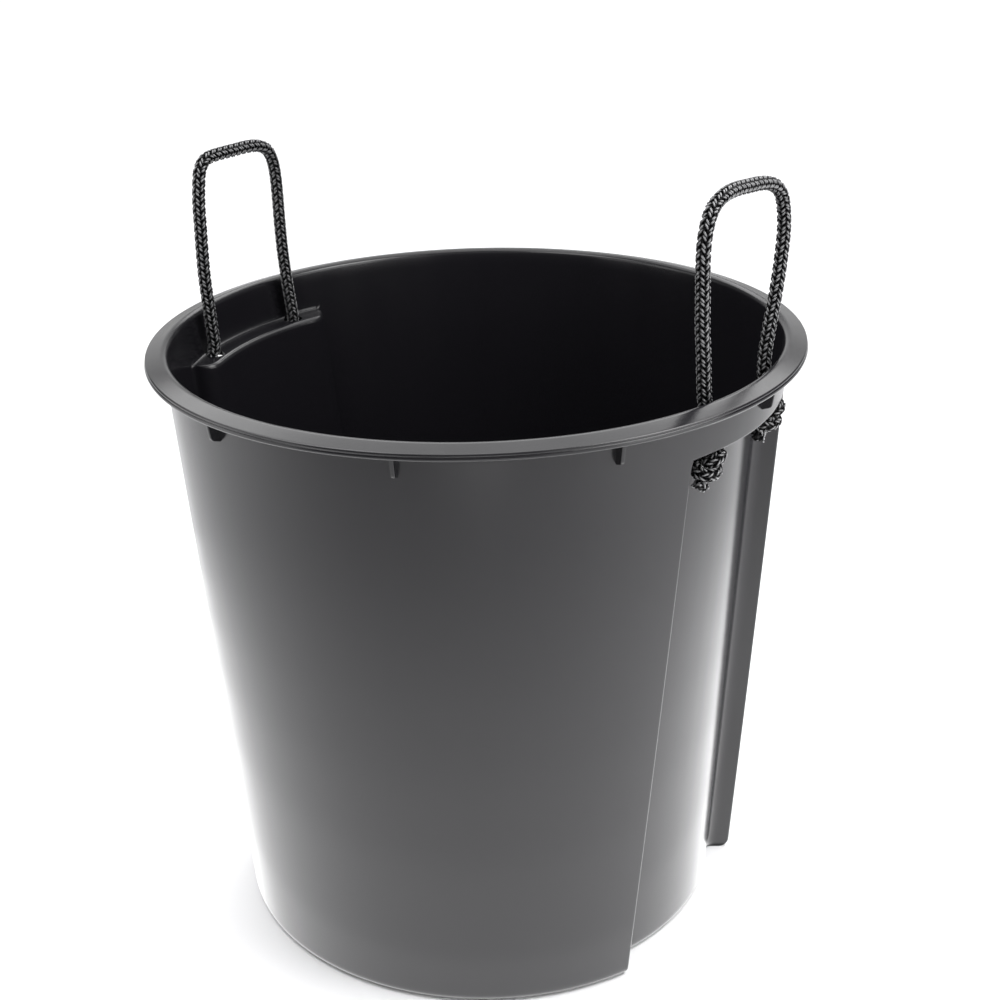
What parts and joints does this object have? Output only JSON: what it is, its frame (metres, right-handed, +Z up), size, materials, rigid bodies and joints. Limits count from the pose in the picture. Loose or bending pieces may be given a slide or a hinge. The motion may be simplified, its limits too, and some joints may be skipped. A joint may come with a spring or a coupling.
{
  "type": "florist bucket",
  "caption": "Tapered moulded florist bucket with a turned-down rim, side recesses under an inner ledge, and knotted braided rope loop handles.",
  "frame": {"origin": "centre of the base, on the surface the bucket stands on", "axes": "+Z up, +X towards the right handle, the picture's near side is -Y"},
  "size_m": [0.3499, 0.35, 0.4249],
  "materials": {
    "bucket_plastic": "satin moulded dark grey polypropylene",
    "rope": "black solid-braid rope with a soft sheen"
  },
  "bodies": {
    "bucket": {"bucket": "bucket_plastic", "left_front_knot": "rope", "left_rear_knot": "rope", "right_front_knot": "rope", "right_rear_knot": "rope"},
    "left_loop": {"left_rope_loop": "rope"},
    "right_loop": {"right_rope_loop": "rope"}
  },
  "joints": [
    {"name": "left_handle_swing", "type": "hinge", "parent": "bucket", "child": "left_loop", "pos_m": [-0.1505, 0, 0.30935], "axis": [0, 1, 0], "range_deg": [-6, 85]},
    {"name": "right_handle_swing", "type": "hinge", "parent": "bucket", "child": "right_loop", "pos_m": [0.1505, 0, 0.30935], "axis": [0, -1, 0], "range_deg": [-6, 85]}
  ]
}
